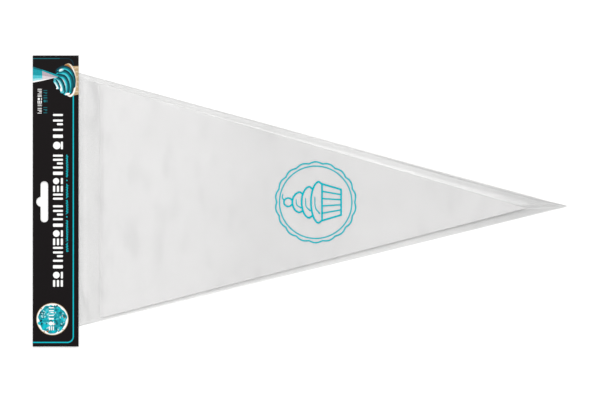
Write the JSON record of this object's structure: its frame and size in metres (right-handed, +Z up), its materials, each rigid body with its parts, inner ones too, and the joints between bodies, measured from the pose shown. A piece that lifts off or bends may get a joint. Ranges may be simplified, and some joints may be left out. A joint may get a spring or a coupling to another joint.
{
  "type": "piping bag pack",
  "caption": "Flat retail pack of disposable piping bags: cone-shaped film bags stacked in a clear tapered sleeve under a folded header card with a euro slot.",
  "frame": {"origin": "on the surface the pack lies on, under the middle of its length, width and thickness box", "axes": "+X from the fold of the card to the tip of the cone, +Y along the fold, +Z up through the thickness to the printed front"},
  "size_m": [0.3792, 0.206, 0.0024],
  "materials": {
    "printed_card": "coated black card with a slight gloss, printed on the outside",
    "adhesive": "clear double-sided adhesive tape",
    "sleeve_film": "clear glossy film with faint creases",
    "bag_film": "milky translucent film, smooth and slightly matte"
  },
  "bodies": {
    "sleeve": {"header_card_back_panel": "printed_card", "adhesive_strip_back": "adhesive", "adhesive_strip_front": "adhesive", "sleeve_back_film": "sleeve_film", "sleeve_front_film": "sleeve_film"},
    "card_flap": {"header_card_front_panel": "printed_card"},
    "bag_01": {"bag_01_back_film": "bag_film", "bag_01_front_film": "bag_film"},
    "bag_02": {"bag_02_back_film": "bag_film", "bag_02_front_film": "bag_film"},
    "bag_03": {"bag_03_back_film": "bag_film", "bag_03_front_film": "bag_film"},
    "bag_04": {"bag_04_back_film": "bag_film", "bag_04_front_film": "bag_film"},
    "bag_05": {"bag_05_back_film": "bag_film", "bag_05_front_film": "bag_film"},
    "bag_06": {"bag_06_back_film": "bag_film", "bag_06_front_film": "bag_film"},
    "bag_07": {"bag_07_back_film": "bag_film", "bag_07_front_film": "bag_film"},
    "bag_08": {"bag_08_back_film": "bag_film", "bag_08_front_film": "bag_film"},
    "bag_09": {"bag_09_back_film": "bag_film", "bag_09_front_film": "bag_film"},
    "bag_10": {"bag_10_back_film": "bag_film", "bag_10_front_film": "bag_film"}
  },
  "joints": [
    {"name": "card_fold", "type": "hinge", "parent": "sleeve", "child": "card_flap", "pos_m": [-0.1896, 0, 0.00065], "axis": [0, -1, 0], "range_deg": [0, 175]},
    {"name": "bag_01_slide", "type": "slide", "parent": "sleeve", "child": "bag_01", "axis": [-1, 0, 0], "range_m": [0, 0.009]},
    {"name": "bag_02_slide", "type": "slide", "parent": "sleeve", "child": "bag_02", "axis": [-1, 0, 0], "range_m": [0, 0.009]},
    {"name": "bag_03_slide", "type": "slide", "parent": "sleeve", "child": "bag_03", "axis": [-1, 0, 0], "range_m": [0, 0.009]},
    {"name": "bag_04_slide", "type": "slide", "parent": "sleeve", "child": "bag_04", "axis": [-1, 0, 0], "range_m": [0, 0.009]},
    {"name": "bag_05_slide", "type": "slide", "parent": "sleeve", "child": "bag_05", "axis": [-1, 0, 0], "range_m": [0, 0.009]},
    {"name": "bag_06_slide", "type": "slide", "parent": "sleeve", "child": "bag_06", "axis": [-1, 0, 0], "range_m": [0, 0.009]},
    {"name": "bag_07_slide", "type": "slide", "parent": "sleeve", "child": "bag_07", "axis": [-1, 0, 0], "range_m": [0, 0.009]},
    {"name": "bag_08_slide", "type": "slide", "parent": "sleeve", "child": "bag_08", "axis": [-1, 0, 0], "range_m": [0, 0.009]},
    {"name": "bag_09_slide", "type": "slide", "parent": "sleeve", "child": "bag_09", "axis": [-1, 0, 0], "range_m": [0, 0.009]},
    {"name": "bag_10_slide", "type": "slide", "parent": "sleeve", "child": "bag_10", "axis": [-1, 0, 0], "range_m": [0, 0.009]}
  ]
}
